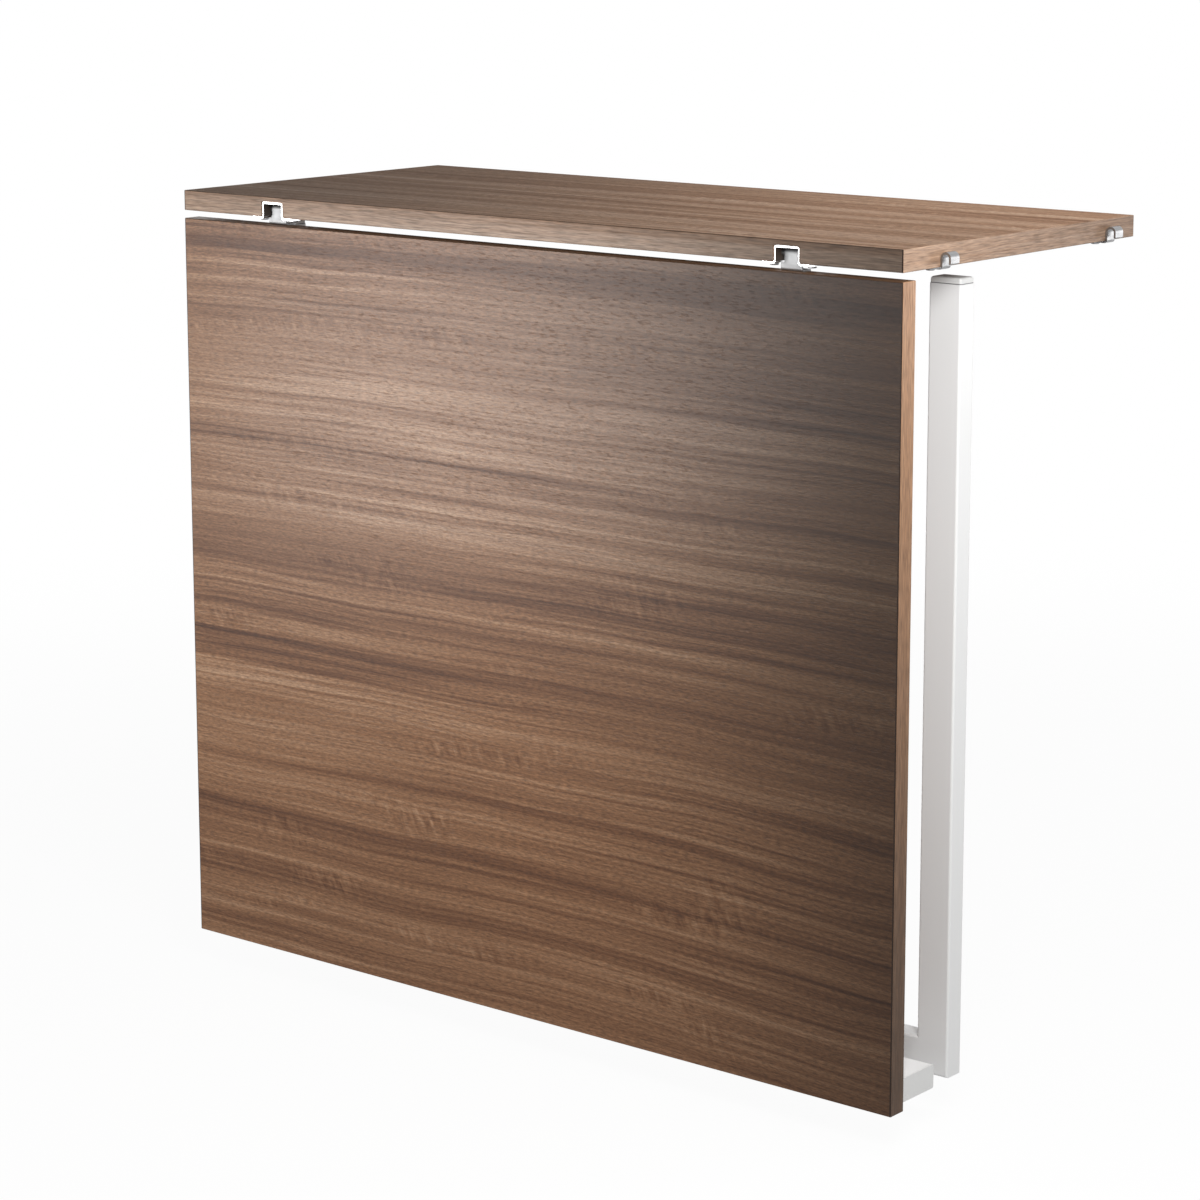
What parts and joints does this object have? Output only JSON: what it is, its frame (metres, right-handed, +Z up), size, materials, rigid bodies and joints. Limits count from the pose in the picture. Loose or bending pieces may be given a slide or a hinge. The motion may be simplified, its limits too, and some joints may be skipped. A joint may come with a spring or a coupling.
{
  "type": "wall mounted drop leaf table",
  "caption": "Shelf that hooks between two side panels, with a leaf hinged to its front edge that lifts level with it and a folding leg frame behind the leaf.",
  "frame": {"origin": "centre of the four hook seats, midway across and midway between front and rear hooks, at the height of the panel wire that they rest on", "axes": "+X to the table's right, +Y back to the wall, +Z up"},
  "size_m": [0.8, 0.34, 0.691],
  "materials": {
    "walnut_veneer": "satin walnut veneer, grain across the width",
    "white_powder_coat": "satin white powder coat on steel tube",
    "polished_chrome": "bright chrome plate",
    "zinc_steel": "satin zinc plate",
    "white_plastic": "fine matt moulded plastic"
  },
  "bodies": {
    "shelf": {"shelf_board": "walnut_veneer", "hook_screws": "zinc_steel", "channel_screws": "zinc_steel", "hook_front_left": "zinc_steel", "hook_rear_left": "zinc_steel", "hinge_channel_left": "polished_chrome", "hinge_pin_left": "zinc_steel", "hook_front_right": "zinc_steel", "hook_rear_right": "zinc_steel", "hinge_channel_right": "polished_chrome", "hinge_pin_right": "zinc_steel"},
    "leaf": {"leaf_board": "walnut_veneer", "leg_beam": "white_powder_coat", "arm_screws": "zinc_steel", "beam_screws": "zinc_steel", "fixed_plate_screws": "zinc_steel", "hinge_arm_left": "zinc_steel", "beam_cap_left": "white_plastic", "leg_hinge_fixed_left": "zinc_steel", "leg_hinge_pin_left": "zinc_steel", "hinge_arm_right": "zinc_steel", "beam_cap_right": "white_plastic", "leg_hinge_fixed_right": "zinc_steel", "leg_hinge_pin_right": "zinc_steel"},
    "leg_frame": {"leg_crossbar": "white_powder_coat", "moving_plate_screws": "zinc_steel", "leg_left": "white_powder_coat", "foot_cap_left": "white_plastic", "leg_hinge_moving_left": "zinc_steel", "leg_right": "white_powder_coat", "foot_cap_right": "white_plastic", "leg_hinge_moving_right": "zinc_steel"}
  },
  "joints": [
    {"name": "leaf_hinge", "type": "hinge", "parent": "shelf", "child": "leaf", "pos_m": [0, -0.1665, -0.0007], "axis": [-1, 0, 0], "range_deg": [0, 90]},
    {"name": "leg_hinge", "type": "hinge", "parent": "leaf", "child": "leg_frame", "pos_m": [0, -0.0855, -0.6532], "axis": [-1, 0, 0], "range_deg": [0, 90]}
  ]
}
